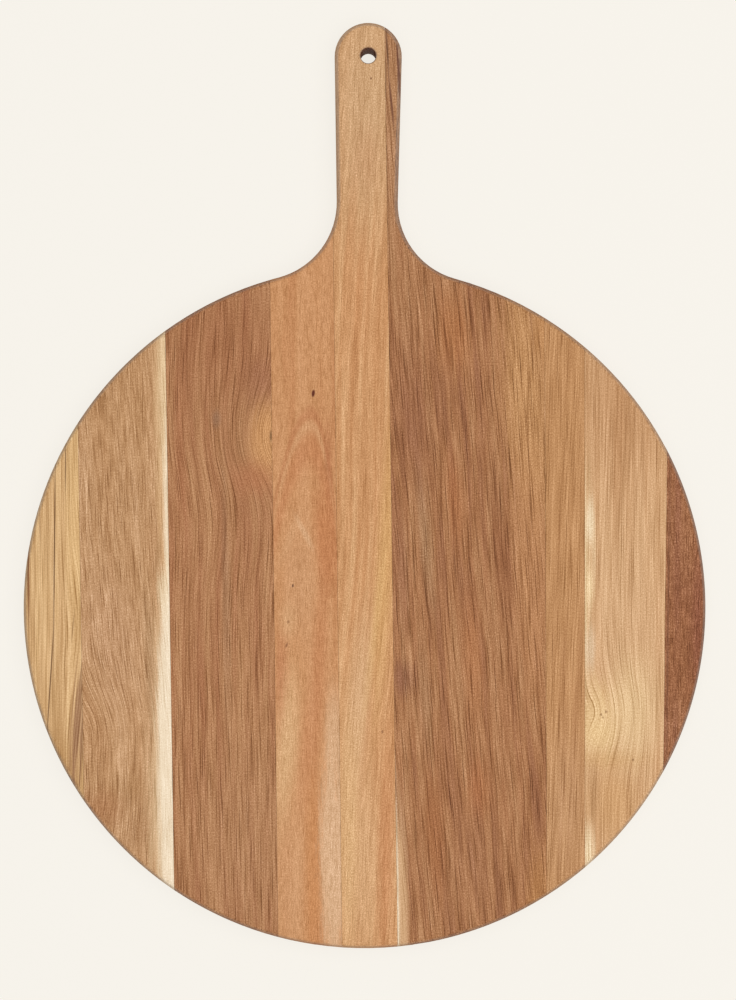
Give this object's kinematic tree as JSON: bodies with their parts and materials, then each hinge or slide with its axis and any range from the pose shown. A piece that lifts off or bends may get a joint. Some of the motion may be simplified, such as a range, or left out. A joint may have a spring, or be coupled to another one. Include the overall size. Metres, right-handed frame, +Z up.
{
  "type": "pizza serving board",
  "caption": "Round acacia serving board with a tapered paddle handle and a drilled hanging hole, edge-glued from staves and rounded over all edges.",
  "frame": {"origin": "centre of the disc on the underside", "axes": "+Z up through the thickness, +Y from the disc's centre along the handle, +X to the right seen from above"},
  "size_m": [0.35, 0.475, 0.015],
  "materials": {
    "honey_acacia": "oiled, matte",
    "tan_acacia": "oiled, matte",
    "russet_acacia": "oiled, matte",
    "orange_acacia": "oiled, matte",
    "pale_orange_acacia": "oiled, matte",
    "brown_acacia": "oiled, matte",
    "golden_acacia": "oiled, matte",
    "light_acacia": "oiled, matte",
    "red_brown_acacia": "oiled, matte"
  },
  "bodies": {
    "root": {"stave_a": "honey_acacia", "stave_b": "tan_acacia", "stave_c": "russet_acacia", "stave_d": "orange_acacia", "stave_e": "pale_orange_acacia", "stave_f": "brown_acacia", "stave_g": "golden_acacia", "stave_h": "light_acacia", "stave_i": "red_brown_acacia"}
  },
  "joints": []
}
